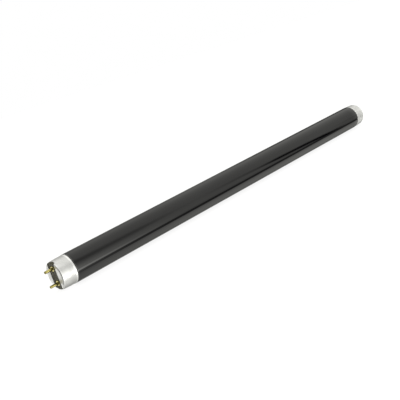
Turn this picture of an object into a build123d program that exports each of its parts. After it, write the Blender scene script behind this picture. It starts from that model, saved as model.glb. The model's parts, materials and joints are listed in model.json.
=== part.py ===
from build123d import *
from math import atan2, cos, sin, tan
import os

# Straight two-pin lamp tube, in millimetres.
# X runs along the tube, Z along each pair of pins, and the origin is the middle of the lamp.

# Whole lamp
face_to_face = 437.4  # outer face of one cap to outer face of the other

# Glass envelope
glass_diameter = 26.0
glass_wall = 0.8
shoulder_length = 3.0  # stretch over which the tube draws in to its neck
neck_straight = 3.5  # plain neck that the cement grips
stem_bore = 10.8  # hollow of the re-entrant stem
stem_depth = 20.0  # from the folded glass end to the floor of the stem
stem_floor = 4.0
stem_round = 1.2
exhaust_diameter = 4.0
exhaust_round = 1.5  # rounding of the sealed tip
exhaust_foot_round = 0.6
exhaust_tip_gap = 2.0  # from the sealed tip to the insulator

# End cap, a drawn aluminium cup
cap_length = 13.5
cap_inset = 0.3  # the skirt lies this far below the glass surface
cap_wall = 0.35
cap_draft = 0.4  # the skirt draws in by this much, from the cement to the face
draft_start = 1.0  # from the cement to the bend where the skirt starts to draw in
draft_round = 20.0
cap_corner = 1.2  # rounding between skirt and face
lip_length = 1.6  # flared rim that meets the glass
cement_thickness = 0.65

# Slot across the cap's face, and the insulator in it
slot_width = 11.0
slot_below_corner = 0.6  # reach of the slot down the skirt, past the rounding
slot_round = 0.8
groove_width = 1.2  # open groove on either side of the bar
groove_depth = 1.3  # below the cap's face
groove_round = 0.3
bar_recess = 0.3  # the bar lies this far below the metal
plug_thickness = 2.2
plug_clearance = 0.1

# Contact pins, drawn brass tubes riveted to the insulator
pin_spacing = 12.7
pin_diameter = 2.35
pin_length = 7.1  # beyond the cap's face
pin_wall = 0.4
pin_tip_wall = 0.9
pin_tip_round = 0.8
pin_clearance = 0.05
collar_step = 1.1
collar_thickness = 0.5
collar_round = 0.2
collar_gap = 0.7  # open ring between the collar and its seat's wall
tail_step = 0.6
tail_thickness = 0.4
tail_round = 0.15

# Lead wires
lead_diameter = 0.6
lead_bend = 4.0
lead_entry = 1.0  # straight run before the wire goes into its pin

# Radii that follow
glass_r = glass_diameter / 2
cap_r = glass_r - cap_inset
cap_inner_r = cap_r - cap_wall
neck_r = cap_inner_r - cement_thickness
stem_bore_r = stem_bore / 2
fold_r = (neck_r - stem_bore_r) / 2
face_edge_r = cap_r - cap_draft
bar_r = face_edge_r - bar_recess
plug_r = face_edge_r - cap_wall - plug_clearance
exhaust_r = exhaust_diameter / 2
pin_r = pin_diameter / 2
pin_bore_r = pin_r - pin_wall
collar_r = pin_r + collar_step
tail_r = pin_r + tail_step
lead_r = lead_diameter / 2

# Places along X that follow, at the right-hand end
face_x = face_to_face / 2
face_inner_x = face_x - cap_wall
rim_x = face_x - cap_length
neck_start_x = rim_x + lip_length
neck_end_x = neck_start_x + neck_straight
draft_x = neck_end_x + draft_start
seal_x = neck_end_x + fold_r
stem_floor_x = seal_x - stem_depth
bar_face_x = face_x - bar_recess
plug_back_x = face_inner_x - plug_thickness
collar_seat_x = bar_face_x - collar_thickness
tail_x = plug_back_x - tail_thickness
tip_x = face_x + pin_length
pin_bore_end_x = tip_x - pin_tip_wall
slot_depth = cap_corner + slot_below_corner
lead_offset = (exhaust_r + stem_bore_r) / 2


def s_bend(start, end, inward=0.0):
    """Two equal arcs from start down to end, level at both ends, or their parallel inward."""
    (x0, r0), (x1, r1) = start, end
    bend_r = ((x1 - x0) ** 2 + (r0 - r1) ** 2) / (4 * (r0 - r1))
    middle = Vector((x0 + x1) / 2, (r0 + r1) / 2)
    outward = (middle - Vector(x0, r0 - bend_r)).normalized()
    meet = middle - outward * inward
    first = TangentArc((x0, r0 - inward), meet, tangent=(1, 0))
    second = TangentArc((x1, r1 - inward), meet, tangent=(-1, 0))
    return [first, second]


def lathe(edges):
    """Turn a closed outline of X and radius round the X axis."""
    outline = make_face([Plane.XZ * edge for edge in edges])
    return revolve(outline, axis=Axis.X)


def round_bar(radius, start_x, end_x):
    """Plain cylinder along X."""
    return extrude(Plane.YZ.offset(start_x) * Circle(radius), amount=end_x - start_x)


def make_glass_tube():
    """Outer wall, neck, end folded back into the stem, stem floor and sealed exhaust tube."""
    shoulder_x = neck_start_x - shoulder_length
    exhaust_tip_x = plug_back_x - exhaust_tip_gap
    gas_floor_x = stem_floor_x - stem_floor
    gas_tip_x = exhaust_tip_x - glass_wall
    exhaust_bore_r = exhaust_r - glass_wall
    stem_outer_r = stem_bore_r + glass_wall
    fold_middle_r = neck_r - fold_r

    air_side = [
        Line((0, glass_r), (shoulder_x, glass_r)),
        *s_bend((shoulder_x, glass_r), (neck_start_x, neck_r)),
        Line((neck_start_x, neck_r), (neck_end_x, neck_r)),
        ThreePointArc((neck_end_x, neck_r), (seal_x, fold_middle_r), (neck_end_x, stem_bore_r)),
        FilletPolyline(
            (neck_end_x, stem_bore_r),
            (stem_floor_x, stem_bore_r),
            (stem_floor_x, exhaust_r),
            (exhaust_tip_x, exhaust_r),
            (exhaust_tip_x, 0),
            radius=[stem_round, exhaust_foot_round, exhaust_round],
        ),
    ]
    gas_side = [
        Line((exhaust_tip_x, 0), (gas_tip_x, 0)),
        FilletPolyline(
            (gas_tip_x, 0),
            (gas_tip_x, exhaust_bore_r),
            (gas_floor_x, exhaust_bore_r),
            (gas_floor_x, stem_outer_r),
            (neck_end_x, stem_outer_r),
            radius=[exhaust_round - glass_wall, exhaust_foot_round, stem_round + glass_wall],
        ),
        ThreePointArc(
            (neck_end_x, stem_outer_r),
            (seal_x - glass_wall, fold_middle_r),
            (neck_end_x, neck_r - glass_wall),
        ),
        Line((neck_end_x, neck_r - glass_wall), (neck_start_x, neck_r - glass_wall)),
        *s_bend((shoulder_x, glass_r), (neck_start_x, neck_r), glass_wall),
        Line((shoulder_x, glass_r - glass_wall), (0, glass_r - glass_wall)),
        Line((0, glass_r - glass_wall), (0, glass_r)),
    ]
    half = lathe(air_side + gas_side)
    return half + mirror(half, about=Plane.YZ)


def cross_prism(outline):
    """Prism right across the cap along Z, from an outline about the middle of its face."""
    return extrude(Pos(face_x, 0, 0) * outline, amount=glass_r, both=True)


def cup_wall(inward=0.0):
    """Lip, skirt, draft, rounded corner and face of the cap, or their parallel inward."""
    rim = (rim_x, glass_r)
    lip_end = (rim_x + lip_length, cap_r)
    slope = atan2(cap_draft, face_x - draft_x)
    bend = (draft_x - inward * tan(slope / 2), cap_r - inward)
    corner = (face_x - inward, face_edge_r - inward * (1 - sin(slope)) / cos(slope))
    skirt = FilletPolyline(
        (lip_end[0], cap_r - inward),
        bend,
        corner,
        (face_x - inward, 0),
        radius=[draft_round - inward, cap_corner - inward],
    )
    return [*s_bend(rim, lip_end, inward), skirt]


def make_end_cap():
    """Thin cup with a flared lip, a skirt that draws in a little and a face slotted right across."""
    edges = [
        *cup_wall(),
        Line((face_x, 0), (face_inner_x, 0)),
        *cup_wall(cap_wall),
        Line((rim_x, glass_r - cap_wall), (rim_x, glass_r)),
    ]
    slot = cross_prism(RectangleRounded(2 * slot_depth, slot_width, slot_round))
    return lathe(edges) - slot


def make_insulator():
    """Round plug behind the cap's face, and the raised bar in the slot with two stepped pin holes."""
    plug = lathe([
        FilletPolyline(
            (plug_back_x, 0),
            (plug_back_x, plug_r),
            (face_inner_x, plug_r),
            (face_inner_x, 0),
            radius=[0, cap_corner - cap_wall],
        ),
        Line((face_inner_x, 0), (plug_back_x, 0)),
    ])
    bar_form = lathe([
        FilletPolyline(
            (plug_back_x, 0),
            (plug_back_x, bar_r),
            (bar_face_x, bar_r),
            (bar_face_x, 0),
            radius=[0, cap_corner - bar_recess],
        ),
        Line((bar_face_x, 0), (plug_back_x, 0)),
    ])
    hole = round_bar(pin_r + pin_clearance, plug_back_x, face_x)
    seat = round_bar(collar_r + collar_gap, collar_seat_x, face_x)
    groove = cross_prism(RectangleRounded(2 * groove_depth, slot_width, groove_round))
    bar = bar_form & cross_prism(Rectangle(4 * plug_thickness, slot_width - 2 * groove_width))
    insulator = (plug - groove) + bar
    for z in (pin_spacing / 2, -pin_spacing / 2):
        insulator -= Pos(0, 0, z) * (hole + seat)
    return insulator


def make_pin(z):
    """Tube with a wire hole in its round tip, a collar on the bar and a riveted tail behind the plug."""
    collar_top_x = collar_seat_x + collar_thickness
    pin = lathe([
        FilletPolyline(
            (pin_bore_end_x, lead_r),
            (pin_bore_end_x, pin_bore_r),
            (tail_x, pin_bore_r),
            (tail_x, tail_r),
            (plug_back_x, tail_r),
            (plug_back_x, pin_r),
            (collar_seat_x, pin_r),
            (collar_seat_x, collar_r),
            (collar_top_x, collar_r),
            (collar_top_x, pin_r),
            (tip_x, pin_r),
            (tip_x, lead_r),
            radius=[0, 0, tail_round, 0, 0, 0, 0, collar_round, 0, pin_tip_round],
        ),
        Line((tip_x, lead_r), (pin_bore_end_x, lead_r)),
    ])
    return Pos(0, 0, z) * pin


def make_cement():
    """Ring that fills the space between the cap's skirt and the glass neck."""
    return round_bar(cap_inner_r, neck_start_x, neck_end_x) - round_bar(neck_r, neck_start_x, neck_end_x)


def make_lead_wire(z):
    """Wire from the stem floor, out past the folded glass and through its pin to the tip."""
    side = 1 if z > 0 else -1
    path = Plane.XZ * FilletPolyline(
        (stem_floor_x, side * lead_offset),
        (neck_end_x, side * lead_offset),
        (tail_x - lead_entry, z),
        (tip_x, z),
        radius=lead_bend,
    )
    section = Plane(origin=path @ 0, z_dir=path % 0) * Circle(lead_r)
    return sweep(section, path=path)


# The right-hand end is modelled, and the left-hand end is the same turned half a turn about Z
end_pieces = {"end_cap": make_end_cap(), "insulator": make_insulator(), "cement": make_cement()}
for height, pin_z in (("upper", pin_spacing / 2), ("lower", -pin_spacing / 2)):
    end_pieces[height + "_pin"] = make_pin(pin_z)
    end_pieces[height + "_lead_wire"] = make_lead_wire(pin_z)

nodes = {"glass_tube": make_glass_tube()}
for name, piece in end_pieces.items():
    nodes["right_" + name] = piece
    nodes["left_" + name] = Rot(0, 0, 180) * piece

os.makedirs("parts", exist_ok=True)
for name, piece in nodes.items():
    export_step(piece, "parts/" + name + ".step")
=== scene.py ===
import bpy
import json
import math
import numpy as np
from mathutils import Matrix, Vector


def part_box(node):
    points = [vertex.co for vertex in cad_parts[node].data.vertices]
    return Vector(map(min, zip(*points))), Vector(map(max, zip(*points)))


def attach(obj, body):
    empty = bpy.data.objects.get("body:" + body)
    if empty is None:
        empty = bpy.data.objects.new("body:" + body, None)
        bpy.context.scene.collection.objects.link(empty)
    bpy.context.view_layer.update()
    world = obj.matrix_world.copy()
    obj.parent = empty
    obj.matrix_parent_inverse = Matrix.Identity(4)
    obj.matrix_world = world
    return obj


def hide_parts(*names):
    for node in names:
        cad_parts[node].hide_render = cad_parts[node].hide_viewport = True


# Two-pin tube lamp in black glass. Shapes are worked out in millimetres and written in metres.

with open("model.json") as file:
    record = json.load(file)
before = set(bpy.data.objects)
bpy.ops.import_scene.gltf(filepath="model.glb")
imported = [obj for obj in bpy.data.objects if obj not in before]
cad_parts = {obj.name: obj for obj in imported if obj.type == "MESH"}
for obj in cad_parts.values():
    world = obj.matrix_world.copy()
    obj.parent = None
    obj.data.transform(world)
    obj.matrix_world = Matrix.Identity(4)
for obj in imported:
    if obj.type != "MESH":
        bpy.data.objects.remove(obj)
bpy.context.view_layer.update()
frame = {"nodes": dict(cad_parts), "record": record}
scene = bpy.context.scene
mm = 0.001


def nodeSpan(name):  # lowest and highest corner of a CAD node, in millimetres
    low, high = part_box(name)
    return np.array(low) / mm, np.array(high) / mm


glassLow, glassHigh = nodeSpan("glass_tube")
capLow, capHigh = nodeSpan("right_end_cap")
plugLow, plugHigh = nodeSpan("right_insulator")
cementLow, cementHigh = nodeSpan("right_cement")
pinLow, pinHigh = nodeSpan("right_upper_pin")
wireHigh = nodeSpan("right_upper_lead_wire")[1]
pinMount = next(mount for mount in frame["record"]["mounts"] if mount["name"] == "right_upper_pin")
pinHeight = pinMount["pos_m"][2] / mm
pinR = pinMount["dims"]["r_mm"]
tubeR = glassHigh[2]
print("frame loaded:", len(frame["nodes"]), "nodes, lamp", round(2 * pinHigh[0], 1), "mm over the pins")


# Points of an outline are (x along the lamp, r from an axis)

def line(start, end, steps):  # evenly spaced points from start to end
    return np.linspace(start, end, steps + 1)


def arc(centre, radius, first, last, steps):  # circle about centre between two angles in degrees
    turn = np.radians(np.linspace(first, last, steps + 1))
    return np.stack([centre[0] + radius * np.cos(turn), centre[1] + radius * np.sin(turn)], axis=1)


# Two equal arcs that leave start level and reach end level. Each has radius
# (run squared + fall squared) / (4 fall), and sink moves the whole line inwards.
def sBend(start, end, sink, steps):
    run = end[0] - start[0]
    fall = start[1] - end[1]
    bend = (run ** 2 + fall ** 2) / (4 * fall)
    turn = math.degrees(2 * math.atan2(fall, run))
    over = arc((start[0], start[1] - bend), bend - sink, 90, 90 - turn, steps)
    under = arc((end[0], end[1] + bend), bend + sink, 270 - turn, 270, steps)
    return np.concatenate([over, under[1:]])


# Straight runs with rounded corners. An arc touches both of its runs
# at radius * tan(half the turn) from the corner.
def roundedPath(corners, radii, steps):
    corners = np.array(corners, float)
    parts = [corners[:1]]
    for before, corner, after, radius in zip(corners, corners[1:], corners[2:], radii):
        into = (corner - before) / np.linalg.norm(corner - before)
        out = (after - corner) / np.linalg.norm(after - corner)
        turn = math.atan2(into[0] * out[1] - into[1] * out[0], into @ out)
        toCentre = math.copysign(radius, turn) * np.array([-into[1], into[0]])
        begin = corner - into * radius * math.tan(abs(turn) / 2)
        swing = np.linspace(0, turn, steps + 1 if radius else 1)
        cosine, sine = np.cos(swing), np.sin(swing)
        x = -toCentre[0] * cosine + toCentre[1] * sine
        r = -toCentre[0] * sine - toCentre[1] * cosine
        parts.append(begin + toCentre + np.stack([x, r], axis=1))
    return np.concatenate(parts + [corners[-1:]])


# Outline turned about X: point (x, r) goes to (x, r cos angle, r sin angle).
# Faces look outwards where the outline runs towards +X.
def lathe(outline, angles):
    x, r = outline[:, :1], outline[:, 1:]
    return np.stack([x + 0 * angles, r * np.cos(angles), r * np.sin(angles)], axis=-1)


def fullTurn(steps):  # angles once round, in radians
    return np.linspace(0, 2 * math.pi, steps + 1)


leftHand = np.array([-1, -1, 1])  # half a turn about Z takes the right-hand end to the left
lampEnds = {"right": 1, "left": leftHand}
weld = 0.0005  # mm, points nearer than this are one
sharpAngle = 35  # degrees between two faces from which their edge is sharp


# Joins grids of points into one mesh: each cell is a face, shared points become one,
# and a cell with a repeated corner becomes a triangle.
def pieceFromGrids(name, grids, material, stands):
    points = np.concatenate([grid.reshape(-1, 3) for grid in grids])
    firsts = np.cumsum([0] + [grid.shape[0] * grid.shape[1] for grid in grids])
    cells = []
    for grid, first in zip(grids, firsts):
        number = first + np.arange(grid.shape[0] * grid.shape[1]).reshape(grid.shape[:2])
        corners = [number[:-1, :-1], number[:-1, 1:], number[1:, 1:], number[1:, :-1]]
        cells.append(np.stack(corners, axis=-1).reshape(-1, 4))
    keys = np.round(points / weld).astype(np.int64)
    kept, same = np.unique(keys, axis=0, return_index=True, return_inverse=True)[1:]
    cells = same.reshape(-1)[np.concatenate(cells)]
    distinct = cells != np.roll(cells, 1, axis=1)
    count = distinct.sum(axis=1)
    threes = cells[count == 3][distinct[count == 3]].reshape(-1, 3)
    mesh = bpy.data.meshes.new(name)
    mesh.from_pydata((points[kept] * mm).tolist(), [], cells[count == 4].tolist() + threes.tolist())
    mesh.polygons.foreach_set("use_smooth", np.ones(len(mesh.polygons), bool))
    mesh.set_sharp_from_angle(angle=math.radians(sharpAngle))
    mesh.materials.append(material)
    piece = bpy.data.objects.new(name, mesh)
    scene.collection.objects.link(piece)
    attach(piece, "root")
    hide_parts(stands)
    return piece


# Node trees

unit = (0.0, 1.0)


def addNode(tree, kind, inputs=None, **settings):  # one node, with values or links for its inputs
    made = tree.nodes.new(kind)
    for key, value in settings.items():
        setattr(made, key, value)
    for socket, value in (inputs or {}).items():
        if isinstance(value, bpy.types.NodeSocket):
            tree.links.new(value, made.inputs[socket])
        else:
            made.inputs[socket].default_value = value
    return made


def combine(tree, operation, *values):  # arithmetic on one to three values
    return addNode(tree, "ShaderNodeMath", dict(enumerate(values)), operation=operation).outputs[0]


def weightedSum(tree, *terms):  # adds values, each times its weight
    total = 0.0
    for value, weight in terms:
        total = combine(tree, "MULTIPLY_ADD", value, weight, total)
    return total


def mapped(tree, value, source, target, easing="LINEAR"):  # takes one span to another, level beyond it
    return addNode(tree, "ShaderNodeMapRange", {
        "Value": value,
        "From Min": source[0], "From Max": source[1],
        "To Min": target[0], "To Max": target[1],
    }, interpolation_type=easing).outputs[0]


def softNoise(tree, place, scale, detail, warp=0.0):
    return addNode(tree, "ShaderNodeTexNoise", {
        "Vector": place, "Scale": scale, "Detail": detail, "Distortion": warp,
    }).outputs[0]


def newGroup(name, values, results):  # empty shader group with a place, named values and named results
    group = bpy.data.node_groups.new(name, "ShaderNodeTree")
    group.interface.new_socket("Place", in_out="INPUT", socket_type="NodeSocketVector")
    for label, value in values.items():
        socket = group.interface.new_socket(label, in_out="INPUT", socket_type="NodeSocketFloat")
        socket.default_value = value
    for label in results:
        group.interface.new_socket(label, in_out="OUTPUT", socket_type="NodeSocketFloat")
    return group, group.nodes.new("NodeGroupInput").outputs, group.nodes.new("NodeGroupOutput").inputs


def useGroup(tree, group, place, values):  # places a group in a material, with its own values
    return addNode(tree, "ShaderNodeGroup", {"Place": place, **values}, node_tree=group).outputs


# Effects that several finishes share

sharedEffects = {
    "lines": {"Across": 100.0, "Round": 40.0, "Sharpness": 2.0},
    "lineDetail": 3.0,
    "marks": {"Smudge Scale": 60.0, "Speck Scale": 400.0, "Speck Size": 0.12},
    "smudgeDetail": 4.0,
    "smudgeWarp": 0.8,
    "smudgeRange": (0.42, 0.68),  # noise at which a smudge starts and is full
}


# Fine lines that run along or round an axis: noise on (x times Across, direction from the axis
# times Round), so a high Round gives lines along the axis and a high Across gives rings.
def makeToolLines():
    group, given, result = newGroup("toolLines", sharedEffects["lines"], ["Lines"])
    split = addNode(group, "ShaderNodeSeparateXYZ", {0: given["Place"]}).outputs
    flat = addNode(group, "ShaderNodeCombineXYZ", {1: split[1], 2: split[2]}).outputs[0]
    aim = addNode(group, "ShaderNodeVectorMath", {0: flat}, operation="NORMALIZE").outputs[0]
    spread = addNode(group, "ShaderNodeVectorMath", {0: aim, "Scale": given["Round"]}, operation="SCALE")
    along = combine(group, "MULTIPLY", split[0], given["Across"])
    shift = addNode(group, "ShaderNodeCombineXYZ", {0: along}).outputs[0]
    place = addNode(group, "ShaderNodeVectorMath", {0: spread.outputs[0], 1: shift}, operation="ADD")
    noise = softNoise(group, place.outputs[0], 1.0, sharedEffects["lineDetail"])
    group.links.new(combine(group, "POWER", noise, given["Sharpness"]), result["Lines"])
    return group


# Signs of handling: soft smudges from warped noise, and sparse specks from the nearest cell point.
def makeHandling():
    e = sharedEffects
    group, given, result = newGroup("handling", e["marks"], ["Smudge", "Speck"])
    noise = softNoise(group, given["Place"], given["Smudge Scale"], e["smudgeDetail"], e["smudgeWarp"])
    smudge = mapped(group, noise, e["smudgeRange"], unit, "SMOOTHSTEP")
    cell = addNode(group, "ShaderNodeTexVoronoi", {"Vector": given["Place"], "Scale": given["Speck Scale"]})
    speck = mapped(group, cell.outputs["Distance"], (given["Speck Size"], 0.0), unit, "SMOOTHSTEP")
    group.links.new(smudge, result["Smudge"])
    group.links.new(speck, result["Speck"])
    return group


toolLines = makeToolLines()
handling = makeHandling()
print("shared effects ready:", toolLines.name, handling.name)


def newMaterial(name, **constants):  # material with one Principled shader and its fixed values
    material = bpy.data.materials.new(name)
    material.use_nodes = True
    tree = material.node_tree
    shader = tree.nodes["Principled BSDF"]
    for socket, value in constants.items():
        shader.inputs[socket.replace("_", " ")].default_value = value
    place = addNode(tree, "ShaderNodeTexCoord").outputs["Object"]
    return material, tree, shader, place


# Colour goes from the first to the second with tone, roughness from low to high with wear,
# and relief stands out by depth, in metres.
def dress(tree, shader, tone, colours, wear, roughness, relief, depth):
    mix = addNode(tree, "ShaderNodeMix", {"Factor": tone}, data_type="RGBA")
    for socket, colour in zip(mix.inputs[6:8], colours):  # the two colour sockets
        socket.default_value = (*colour, 1.0)
    bump = addNode(tree, "ShaderNodeBump", {"Height": relief, "Distance": depth, "Strength": 1.0})
    tree.links.new(mix.outputs[2], shader.inputs["Base Color"])
    tree.links.new(mapped(tree, wear, unit, roughness), shader.inputs["Roughness"])
    tree.links.new(bump.outputs[0], shader.inputs["Normal"])


# Glass envelope

glassTube = {
    "wall": 0.8,
    "shoulderLength": 3.0,  # stretch over which the tube draws in to its neck
    "stemBore": 10.8,  # hollow of the folded-in stem
    "stemDepth": 20.0,
    "stemFloor": 4.0,
    "stemRound": 1.2,
    "exhaustDiameter": 4.0,
    "exhaustRound": 1.5,
    "exhaustFootRound": 0.6,
    "exhaustTipGap": 2.0,  # to the back of the insulator
    "cementThickness": 0.65,
    "turnSteps": 256,
    "halfSteps": 24,  # from the middle to the shoulder
    "bendSteps": 10,
    "foldSteps": 20,
    "roundSteps": 8,
    "index": 1.5,
    "black": (0.0022, 0.0020, 0.0026),
    "bloom": (0.0060, 0.0058, 0.0056),  # where the surface has been handled
    "polish": (0.035, 0.085),  # roughness, clean and smudged
    "marks": {"Smudge Scale": 38.0, "Speck Scale": 420.0},
    "speckWeight": 0.8,
    "streaks": {"Across": 3.0, "Round": 34.0, "Sharpness": 2.0},  # along the tube, where smudges show
    "ripple": {"Across": 26.0, "Round": 2.4, "Sharpness": 1.0},
    "waviness": 0.000010,  # m, depth of the ripple left by drawing the tube
}


def makeDarkGlass():
    g = glassTube
    material, tree, shader, place = newMaterial("darkGlass", IOR=g["index"])
    marks = useGroup(tree, handling, place, g["marks"])
    ripple = useGroup(tree, toolLines, place, g["ripple"])["Lines"]
    streaks = useGroup(tree, toolLines, place, g["streaks"])["Lines"]
    film = combine(tree, "MULTIPLY", marks["Smudge"], streaks)
    specks = combine(tree, "MULTIPLY", marks["Speck"], g["speckWeight"])
    dusty = combine(tree, "MAXIMUM", film, specks)
    dress(tree, shader, dusty, (g["black"], g["bloom"]), dusty, g["polish"], ripple, g["waviness"])
    return material


# The air side runs from the middle of the tube over shoulder, neck, fold, stem floor and exhaust
# tube to the axis, and the gas side is the same one wall further in. Both are turned about X.
def makeGlassTube(material):
    g = glassTube
    wall = g["wall"]
    neckStart, neckEnd = cementLow[0], cementHigh[0]
    neckR = cementHigh[2] - g["cementThickness"]
    stemR = g["stemBore"] / 2
    foldR = (neckR - stemR) / 2
    exhaustR = g["exhaustDiameter"] / 2
    shoulder = (neckStart - g["shoulderLength"], tubeR)
    floorX = glassHigh[0] - g["stemDepth"]
    tipX = plugLow[0] - g["exhaustTipGap"]
    foldCentre = (neckEnd, neckR - foldR)

    def sideOutline(sink):  # sink is 0 on the air side and one wall on the gas side
        floor = floorX - g["stemFloor"] * sink / wall
        stem = roundedPath(
            [(neckEnd, stemR + sink), (floor, stemR + sink), (floor, exhaustR - sink),
             (tipX - sink, exhaustR - sink), (tipX - sink, 0)],
            [g["stemRound"] + sink, g["exhaustFootRound"], g["exhaustRound"] - sink], g["roundSteps"])
        return np.concatenate([
            line((0, tubeR - sink), (shoulder[0], tubeR - sink), g["halfSteps"]),
            sBend(shoulder, (neckStart, neckR), sink, g["bendSteps"])[1:],
            arc(foldCentre, foldR - sink, 90, -90, g["foldSteps"]),
            stem[1:],
        ])

    air = sideOutline(0.0)
    gas = sideOutline(wall)
    flip = np.array([-1, 1])
    outside = np.concatenate([air[:0:-1] * flip, air])
    inside = np.concatenate([gas[::-1], gas[1:] * flip])
    angles = fullTurn(g["turnSteps"])
    grids = [lathe(outside, angles), lathe(inside, angles)]
    pieceFromGrids("glassEnvelope", grids, material, "glass_tube")


makeGlassTube(makeDarkGlass())
print("glass envelope made")


# End caps

endCap = {
    "wall": 0.35,
    "inset": 0.3,  # skirt below the glass surface
    "draft": 0.4,  # the skirt draws in by this much towards the face
    "draftStart": 1.0,  # from the cement to the bend of the skirt
    "draftRound": 20.0,
    "corner": 1.2,  # rounding between skirt and face
    "lipLength": 1.6,  # flared rim at the glass
    "slotWidth": 11.0,
    "slotBelowCorner": 0.6,
    "slotRound": 0.8,
    "edgeRound": 0.06,
    "edgeSegments": 2,
    "edgeAngle": 50,  # degrees, edges sharper than this are rounded
    "lipSteps": 8,
    "roundSteps": 12,
    "skirtSteps": 8,
    "faceSteps": 16,
    "flapSteps": 56,
    "slotSteps": 20,
    "bright": (0.58, 0.58, 0.58),
    "dull": (0.475, 0.475, 0.47),  # handled and oxidised patches
    "satin": (0.40, 0.55),  # roughness
    "marks": {"Smudge Scale": 140.0, "Speck Scale": 900.0},
    "smudgeWeight": 0.55,
    "speckWeight": 0.5,
    "drawnLines": {"Across": 60.0, "Round": 90.0, "Sharpness": 1.6},
    "rings": {"Across": 5200.0, "Round": 0.6, "Sharpness": 1.6},
    "ringWeight": 0.6,  # of the rings beside the drawn lines
    "lineWeight": 0.22,  # of both in the tone
    "lineDepth": 0.0000018,  # m
}


def makeAluminium():
    c = endCap
    material, tree, shader, place = newMaterial("satinAluminium", Metallic=1.0)
    marks = useGroup(tree, handling, place, c["marks"])
    drawn = useGroup(tree, toolLines, place, c["drawnLines"])["Lines"]
    rings = useGroup(tree, toolLines, place, c["rings"])["Lines"]
    lines = weightedSum(tree, (drawn, 1.0), (rings, c["ringWeight"]))
    tone = weightedSum(tree, (marks["Smudge"], c["smudgeWeight"]), (marks["Speck"], c["speckWeight"]),
                       (lines, c["lineWeight"]))
    dress(tree, shader, tone, (c["bright"], c["dull"]), tone, c["satin"], lines, c["lineDepth"])
    return material


# Cup turned about X: lip, skirt, rounded corner and face. The slot leaves two flaps, and at a point
# (x, r) of the outline a flap spans the angles whose cosine is over (slot half width at x) / r.
def capGrids():
    c = endCap
    faceX, rimX = capHigh[0], capLow[0]
    capR = tubeR - c["inset"]
    lipEnd = (rimX + c["lipLength"], capR)
    draftX = cementHigh[0] + c["draftStart"]
    slope = math.atan2(c["draft"], faceX - draftX)
    floorX = faceX - c["corner"] - c["slotBelowCorner"]
    half = c["slotWidth"] / 2

    def slotHalf(x):  # the slot's own corners are arcs, so it widens from its floor
        rise = np.clip(x - floorX, 0, c["slotRound"])
        return half - c["slotRound"] + np.sqrt(c["slotRound"] ** 2 - (c["slotRound"] - rise) ** 2)

    def wallSide(sink):  # ring below the slot and one flap, for the outer or the inner wall
        bend = (draftX - sink * math.tan(slope / 2), capR - sink)
        edgeR = capR - c["draft"] - sink * (1 - math.sin(slope)) / math.cos(slope)
        face = faceX - sink
        floorR = bend[1] - (floorX - bend[0]) * math.tan(slope)
        rounds = [c["draftRound"] - sink, c["corner"] - sink]
        cupLine = [(lipEnd[0], capR - sink), bend, (face, edgeR), (face, 0)]
        cup = roundedPath(cupLine, rounds, c["roundSteps"])
        upper, corner = np.split(cup[:-1], [c["roundSteps"] + 2])  # lip end and bend, then the corner
        skirt = np.concatenate([
            sBend((rimX, tubeR), lipEnd, sink, c["lipSteps"]),
            upper[1:],
            line(upper[-1], (floorX, floorR), c["skirtSteps"])[1:],
        ])
        spread = math.acos(slotHalf(floorX) / floorR)
        flapTurn = np.linspace(-spread, spread, c["flapSteps"] + 1)
        slotTurn = np.linspace(spread, math.pi - spread, c["slotSteps"] + 1)
        turns = [flapTurn, slotTurn[1:], flapTurn[1:] + math.pi, slotTurn[1:] + math.pi]
        ring = lathe(skirt, np.concatenate(turns))
        chord = half / np.cos(np.linspace(math.acos(half / corner[-1, 1]), 0, c["faceSteps"] + 1))
        flapLine = np.concatenate([
            line((floorX, floorR), corner[0], c["skirtSteps"]),
            corner[1:],
            np.stack([np.full(c["faceSteps"], face), chord[1:]], axis=1),
        ])
        share = np.linspace(-1, 1, c["flapSteps"] + 1)
        ratio = np.clip(slotHalf(flapLine[:, :1]) / flapLine[:, 1:], -1, 1)
        flap = lathe(flapLine, np.arccos(ratio) * share)
        return ring, flap

    ring, flap = wallSide(0.0)
    innerRing, innerFlap = wallSide(c["wall"])
    first, last = c["flapSteps"], c["flapSteps"] + c["slotSteps"] + 1
    slotFloor = np.stack([ring[-1, first:last], innerRing[-1, first:last]])
    flapEnds = [
        np.stack([innerFlap[:, 0], flap[:, 0]], axis=1),
        np.stack([flap[:, -1], innerFlap[:, -1]], axis=1),
    ]
    halfTurn = np.array([1, -1, -1])
    oneSide = [slotFloor, flap, innerFlap[::-1], *flapEnds]
    rim = np.stack([innerRing[0], ring[0]])
    return [ring, innerRing[::-1], rim, *oneSide, *[grid * halfTurn for grid in oneSide]]


def makeEndCaps(material):
    grids = capGrids()
    for side, hand in lampEnds.items():
        turned = [grid * hand for grid in grids]
        piece = pieceFromGrids(side + "EndCap", turned, material, side + "_end_cap")
        bevel = piece.modifiers.new("edgeRound", "BEVEL")
        bevel.width = endCap["edgeRound"] * mm
        bevel.segments = endCap["edgeSegments"]
        bevel.limit_method = "ANGLE"
        bevel.angle_limit = math.radians(endCap["edgeAngle"])
        bevel.harden_normals = True


makeEndCaps(makeAluminium())
print("end caps made")


# Contact pins

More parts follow.
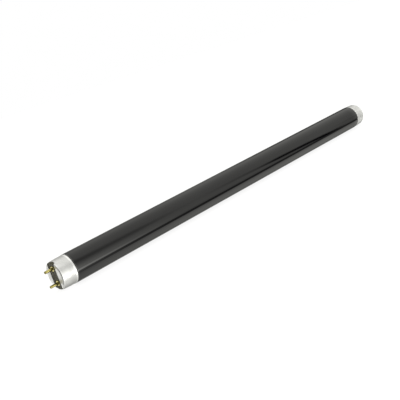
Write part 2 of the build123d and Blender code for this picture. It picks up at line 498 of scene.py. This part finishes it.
contactPin = {
    "wall": 0.4,
    "tipWall": 0.9,
    "tipRound": 0.8,
    "collarThickness": 0.5,
    "collarRound": 0.2,
    "tailStep": 0.6,
    "tailRound": 0.15,
    "turnSteps": 72,
    "roundSteps": 8,
    "brass": (0.58, 0.505, 0.18),
    # the darker colour stands for tarnish, and on the foot for painted shade
    "tarnish": (0.145, 0.125, 0.04),
    "tipTarnish": 4.0,  # length of the darkened contact end
    "tipDark": 0.6,  # share of the darker colour there
    "seatTarnish": 1.6,  # length of the painted shade on the foot above the collar
    "footDark": 0.9,  # share of painted shade there
    "collarDark": 0.22,  # and on the collar, which gets less painted shade and stays brighter
    "polish": (0.16, 0.38),  # roughness
    "marks": {"Smudge Scale": 420.0},
    "smudgeWeight": 0.35,
    "rubbedLines": {"Across": 120.0, "Round": 7.0, "Sharpness": 1.5},
    "turnedLines": {"Across": 7000.0, "Round": 0.3, "Sharpness": 1.5},
    "turnedWeight": 0.5,  # of the turned lines beside the rubbed ones
    "lineWeight": 0.25,  # of both in the tone
    "lineDepth": 0.0000020,  # m
}


# The darkening goes by the distance from the middle of the lamp and from the pin's own axis: darker towards
# the contact end, and painted shade on the foot above the collar, less of it on the collar.
def makeBrass():
    p = contactPin
    material, tree, shader, place = newMaterial("pinBrass", Metallic=1.0)
    split = addNode(tree, "ShaderNodeSeparateXYZ", {0: place}).outputs
    reach = combine(tree, "ABSOLUTE", split[0])
    upper = combine(tree, "SUBTRACT", combine(tree, "ABSOLUTE", split[2]), pinHeight * mm)
    centred = addNode(tree, "ShaderNodeCombineXYZ", {0: split[0], 1: split[1], 2: upper}).outputs[0]
    sideways = addNode(tree, "ShaderNodeCombineXYZ", {1: split[1], 2: upper}).outputs[0]
    radius = addNode(tree, "ShaderNodeVectorMath", {0: sideways}, operation="LENGTH").outputs["Value"]
    shaftSpan = (pinR * mm, (pinR + p["collarRound"]) * mm)
    # painted shade: full on the shaft at the foot, less on the collar round it
    footDark = mapped(tree, radius, shaftSpan, (p["footDark"], p["collarDark"]))
    tipX, seatX = pinHigh[0], plugHigh[0]
    tipSpan = ((tipX - p["tipTarnish"]) * mm, tipX * mm)
    seatSpan = ((seatX + p["seatTarnish"]) * mm, seatX * mm)
    # darker towards the contact end
    tip = mapped(tree, reach, tipSpan, (0.0, p["tipDark"]), "SMOOTHSTEP")
    # painted shade on the foot above the collar
    footShadeMask = mapped(tree, reach, seatSpan, (0.0, footDark), "SMOOTHSTEP")
    marks = useGroup(tree, handling, place, p["marks"])
    rubbed = useGroup(tree, toolLines, centred, p["rubbedLines"])["Lines"]
    turned = useGroup(tree, toolLines, centred, p["turnedLines"])["Lines"]
    lines = weightedSum(tree, (rubbed, 1.0), (turned, p["turnedWeight"]))
    # dulling from smudges and lines, darker towards the tip, and painted shade on the foot
    dull = weightedSum(tree, (marks["Smudge"], p["smudgeWeight"]), (lines, p["lineWeight"]),
                       (tip, 1.0), (footShadeMask, 1.0))
    dress(tree, shader, dull, (p["brass"], p["tarnish"]), dull, p["polish"], lines, p["lineDepth"])
    return material


# Tube with a wire hole in its round tip, a collar and a riveted tail: one closed outline
# turned about the pin's own axis.
def makePins(material):
    p = contactPin
    boreR = pinR - p["wall"]
    collarR = pinHigh[1]
    tailR = pinR + p["tailStep"]
    tailX, tipX = pinLow[0], pinHigh[0]
    plugBack = plugLow[0]
    collarTop = plugHigh[0]
    collarSeat = collarTop - p["collarThickness"]
    boreEnd = tipX - p["tipWall"]
    wireR = wireHigh[1]
    outline = roundedPath(
        [(boreEnd, wireR), (boreEnd, boreR), (tailX, boreR), (tailX, tailR), (plugBack, tailR),
         (plugBack, pinR), (collarSeat, pinR), (collarSeat, collarR), (collarTop, collarR),
         (collarTop, pinR), (tipX, pinR), (tipX, wireR), (boreEnd, wireR)],
        [0, 0, p["tailRound"], 0, 0, 0, 0, p["collarRound"], 0, p["tipRound"], 0], p["roundSteps"])
    pin = lathe(outline, fullTurn(p["turnSteps"]))
    for side, hand in lampEnds.items():
        for level, height in (("upper", pinHeight), ("lower", -pinHeight)):
            name = side + level.capitalize() + "Pin"
            grids = [(pin + np.array([0, 0, height])) * hand]
            pieceFromGrids(name, grids, material, side + "_" + level + "_pin")


makePins(makeBrass())
print("contact pins made")


# Pieces that keep their CAD form: insulators, cement and lead wires

pressedBoard = {
    "index": 1.55,
    "gloss": 0.12,  # specular level
    "dark": (0.0185, 0.017, 0.009),
    "fibre": (0.070, 0.065, 0.037),
    "fibreScale": (900.0, 1500.0, 420.0),
    "fibreDetail": 5.0,
    "sheen": (0.45, 0.65),  # roughness
    "marks": {"Smudge Scale": 300.0, "Speck Scale": 1300.0},
    "speckWeight": 0.9,
    "grain": 0.000012,  # m
}
cementPaste = {
    "grey": (0.40, 0.37, 0.31),
    "sand": (0.70, 0.64, 0.53),
    "sandScale": 1200.0,
    "sandDetail": 6.0,
    "rough": (0.80, 0.95),  # roughness
    "marks": {"Smudge Scale": 500.0},
    "grain": 0.00005,  # m
}
leadWire = {
    "bright": (0.66, 0.65, 0.62),
    "dull": (0.40, 0.38, 0.35),
    "satin": (0.25, 0.45),  # roughness
    "marks": {"Smudge Scale": 700.0},
    "pitScale": 4000.0,
    "pitDetail": 3.0,
    "pitDepth": 0.000001,  # m
}


def makePressedBoard():
    b = pressedBoard
    material, tree, shader, place = newMaterial(
        "pressedBoard", IOR=b["index"], Specular_IOR_Level=b["gloss"])
    stretched = addNode(tree, "ShaderNodeMapping", {"Vector": place, "Scale": b["fibreScale"]}).outputs[0]
    fibres = softNoise(tree, stretched, 1.0, b["fibreDetail"])
    marks = useGroup(tree, handling, place, b["marks"])
    pale = combine(tree, "MAXIMUM", fibres, combine(tree, "MULTIPLY", marks["Speck"], b["speckWeight"]))
    dress(tree, shader, pale, (b["dark"], b["fibre"]), marks["Smudge"], b["sheen"], fibres, b["grain"])
    return material


def makeCement():
    c = cementPaste
    material, tree, shader, place = newMaterial("capCement")
    marks = useGroup(tree, handling, place, c["marks"])
    sand = softNoise(tree, place, c["sandScale"], c["sandDetail"])
    dress(tree, shader, sand, (c["grey"], c["sand"]), marks["Smudge"], c["rough"], sand, c["grain"])
    return material


def makeLeadMetal():
    w = leadWire
    material, tree, shader, place = newMaterial("leadNickel", Metallic=1.0)
    smudge = useGroup(tree, handling, place, w["marks"])["Smudge"]
    pits = softNoise(tree, place, w["pitScale"], w["pitDetail"])
    dress(tree, shader, smudge, (w["bright"], w["dull"]), smudge, w["satin"], pits, w["pitDepth"])
    return material


def dressNodes(ending, material):  # gives every CAD node with that name ending its finish
    for name, node in frame["nodes"].items():
        if name.endswith(ending):
            node.data.materials.clear()
            node.data.materials.append(material)


dressNodes("insulator", makePressedBoard())
dressNodes("cement", makeCement())
dressNodes("lead_wire", makeLeadMetal())
print("insulators, cement and lead wires dressed")


# Studio: a white room round the lamp, set out in the photograph's upright

studio = {
    "lampRoll": 25.0,  # degrees the lamp is rolled about its axis from pins upright
    # brightness round the lamp, by degrees from overhead towards the front
    "ring": [(-180, 0.38), (-131, 0.50), (-88, 0.36), (-66, 0.86), (-50, 1.02), (-37, 1.06), (-4, 1.06),
             (16, 1.02), (44, 1.0), (91, 1.0), (122, 1.16), (134, 1.25), (163, 0.82), (180, 0.38)],
    # brightness along the lamp, by the sine of the slant towards the right-hand end
    "aisle": [(-1.0, 0.45), (-0.69, 0.55), (-0.48, 1.5), (-0.1, 2.3), (0.16, 1.8), (0.36, 1.06),
              (0.515, 0.94), (0.606, 0.98), (0.664, 0.92), (0.766, 0.88), (0.80, 0.77), (0.848, 1.5),
              (0.92, 2.3), (1.0, 2.6)],
    "gain": 3.0,  # top of the scales of brightness and depth
    "halfTurn": 180,  # top of those in degrees
    # edge of the backdrop, a darker line: its degrees from overhead, half width and depth by the slant,
    # where a depth over 1 widens the black
    "edgePath": [(0.40, 26), (0.50, 33.5), (0.60, 44), (0.672, 54.5), (0.706, 65.6), (0.748, 77.5),
                 (0.767, 88), (0.777, 100)],
    "edgeWidth": [(0.40, 26), (0.506, 22), (0.60, 14), (0.70, 15), (0.72, 19), (0.765, 20), (0.775, 25)],
    "edgeDepth": [(0.0, 0.52), (0.44, 0.50), (0.531, 0.38), (0.581, 0.10), (0.623, 0.06), (0.659, 0.26),
                  (0.69, 0.45), (0.714, 1.1), (0.762, 1.2), (0.772, 1.5), (0.78, 1.4), (0.79, 0.0)],
    "edgeReach": (98.2, 4.0),  # degrees from overhead to which it goes down, and soft edge
    # patches: middle and half width in degrees from overhead and soft edge, slant from and to
    # and soft edge, gain
    "patches": [
        (105.8, 6.5, 6, 0.623, 1.5, 0.50, -0.86),  # dark gap at the front of the table
        (92, 2, 8, 0.623, 1.5, 0.166, -0.2),  # its soft upper edge
        (90, 3, 6, -0.05, 0.384, 0.231, 0.9),  # bright panel above it
        (84.2, 6, 34, -0.05, 0.384, 0.231, 1.0),  # glow round the panel
        (146, 24, 26, -0.60, 0.32, 0.25, -0.28),  # dimmer table under the near end
        (74.2, 14, 14, 0.80, 1.5, 0.043, -0.2),  # dimmer front beyond the far end
        (-90, 10, 12, 0.74, 1.5, 0.126, -0.45),  # darker back beyond the far end
        (-133, 30, 30, -0.68, -0.33, 0.12, 1.55),  # white table behind the near end
    ],
    "tint": (1.0, 1.0, 0.95, 1.0),  # colour of the room
    "white": (1.0, 1.0, 1.0, 1.0),  # of the backdrop and the floor
    "floorGlow": 0.85,  # share of the floor's own light
    "floorLift": 1.04,  # and its brightness
    "floorRadius": 12000.0,
    "floorGap": 0.2,  # under the glass
    "floorRings": 12,
    "floorSides": 96,
}


def stopRamp(tree, value, span, stops, top):  # line through the stops, none of them over top
    low, high = span
    ramp = addNode(tree, "ShaderNodeValToRGB", {0: mapped(tree, value, span, unit)})
    elements = ramp.color_ramp.elements
    for number, (at, height) in enumerate(stops):
        position = (at - low) / (high - low)
        stop = elements[number] if number < len(elements) else elements.new(position)
        stop.position = position
        stop.color = (*[height / top] * 3, 1.0)
    return combine(tree, "MULTIPLY", ramp.outputs[0], top)


def window(tree, value, middle, half, soft):  # 1 within half of the middle, falling to 0 over soft
    off = combine(tree, "ABSOLUTE", combine(tree, "SUBTRACT", value, middle))
    return mapped(tree, off, (half + soft, half), unit, "SMOOTHSTEP")


def makeWorld():
    s = studio
    world = bpy.data.worlds.new("studioWhite")
    scene.world = world
    world.use_nodes = True
    tree = world.node_tree
    tree.nodes.clear()
    aim = addNode(tree, "ShaderNodeTexCoord").outputs["Generated"]
    upright = addNode(tree, "ShaderNodeVectorRotate", {
        "Vector": aim, "Angle": math.radians(-s["lampRoll"]),
    }, rotation_type="X_AXIS").outputs[0]
    split = addNode(tree, "ShaderNodeSeparateXYZ", {0: upright}).outputs
    slant = split[0]
    front = combine(tree, "MULTIPLY", split[1], -1.0)
    turn = combine(tree, "DEGREES", combine(tree, "ARCTAN2", front, split[2]))
    ring = stopRamp(tree, turn, (-s["halfTurn"], s["halfTurn"]), s["ring"], s["gain"])
    aisle = stopRamp(tree, slant, (-1, 1), s["aisle"], s["gain"])
    glow = combine(tree, "MULTIPLY", ring, aisle)
    path = stopRamp(tree, slant, unit, s["edgePath"], s["halfTurn"])
    width = stopRamp(tree, slant, unit, s["edgeWidth"], s["halfTurn"])
    depth = stopRamp(tree, slant, unit, s["edgeDepth"], s["gain"])
    away = combine(tree, "DIVIDE", combine(tree, "SUBTRACT", turn, path), width)
    reach = window(tree, turn, 0.0, *s["edgeReach"])
    edge = combine(tree, "MULTIPLY", window(tree, away, 0.0, 0.0, 1.0), reach)
    shade = combine(tree, "MULTIPLY", edge, depth)
    glow = combine(tree, "MULTIPLY", glow, mapped(tree, shade, unit, (1.0, 0.0)))
    for middle, half, soft, first, last, slantSoft, gain in s["patches"]:
        across = window(tree, turn, middle, half, soft)
        along = window(tree, slant, (first + last) / 2, (last - first) / 2, slantSoft)
        spot = combine(tree, "MULTIPLY", across, along)
        glow = combine(tree, "MULTIPLY", glow, mapped(tree, spot, unit, (1.0, 1.0 + gain)))
    room = addNode(tree, "ShaderNodeBackground", {"Color": s["tint"], "Strength": glow}).outputs[0]
    white = addNode(tree, "ShaderNodeBackground", {"Color": s["white"], "Strength": 1.0}).outputs[0]
    seen = addNode(tree, "ShaderNodeLightPath").outputs["Is Camera Ray"]
    both = addNode(tree, "ShaderNodeMixShader", {0: seen, 1: room, 2: white}).outputs[0]
    addNode(tree, "ShaderNodeOutputWorld", {"Surface": both})


# Flat disc just under the lamp. Its rings widen outwards: radius is the square of the ring's share
# of the count, times the full radius.
def makeFloor():
    s = studio
    reach = np.linspace(0, 1, s["floorRings"] + 1) ** 2 * s["floorRadius"]
    spots = lathe(np.stack([0 * reach, reach], axis=1), fullTurn(s["floorSides"]))[..., [1, 2, 0]]
    points = (spots + np.array([0, 0, glassLow[2] - s["floorGap"]])).reshape(-1, 3) * mm
    number = np.arange(spots.shape[0] * spots.shape[1]).reshape(spots.shape[:2])
    cells = np.stack([number[:-1, :-1], number[1:, :-1], number[1:, 1:], number[:-1, 1:]], axis=-1)
    mesh = bpy.data.meshes.new("paleFloor")
    mesh.from_pydata(points.tolist(), [], cells.reshape(-1, 4).tolist())
    floor = bpy.data.objects.new("paleFloor", mesh)
    scene.collection.objects.link(floor)
    floor.visible_glossy = False
    material = bpy.data.materials.new("paleFloor")
    material.use_nodes = True
    tree = material.node_tree
    tree.nodes.clear()
    paper = addNode(tree, "ShaderNodeBsdfDiffuse", {"Color": s["white"]}).outputs[0]
    lit = addNode(tree, "ShaderNodeEmission", {"Color": s["white"], "Strength": s["floorLift"]}).outputs[0]
    both = addNode(tree, "ShaderNodeMixShader", {0: s["floorGlow"], 1: paper, 2: lit}).outputs[0]
    addNode(tree, "ShaderNodeOutputMaterial", {"Surface": both})
    mesh.materials.append(material)


makeWorld()
makeFloor()
scene.view_settings.view_transform = "Standard"
print("studio ready")


# Camera, level in the photograph, with the lamp rolled under it

photoCamera = {
    "place": (-427.12, -361.894, 318.073),  # mm from the middle of the lamp
    "heading": 46.02,  # degrees from +Y towards +X
    "pitch": -31.572,  # degrees above level
    "lens": 57.479,  # mm
    "clip": (0.01, 100.0),  # m, nearest and farthest it sees
}


def makeCamera():
    p = photoCamera
    camera = bpy.data.cameras.new("photoCamera")
    camera.lens = p["lens"]
    camera.clip_start, camera.clip_end = p["clip"]
    holder = bpy.data.objects.new("photoCamera", camera)
    scene.collection.objects.link(holder)
    roll = Matrix.Rotation(math.radians(studio["lampRoll"]), 4, "X")
    turn = Matrix.Rotation(math.radians(-p["heading"]), 4, "Z")
    tilt = Matrix.Rotation(math.radians(90 + p["pitch"]), 4, "X")
    place = Matrix.Translation([value * mm for value in p["place"]])
    holder.matrix_world = roll @ place @ turn @ tilt
    scene.camera = holder


makeCamera()
print("camera set")
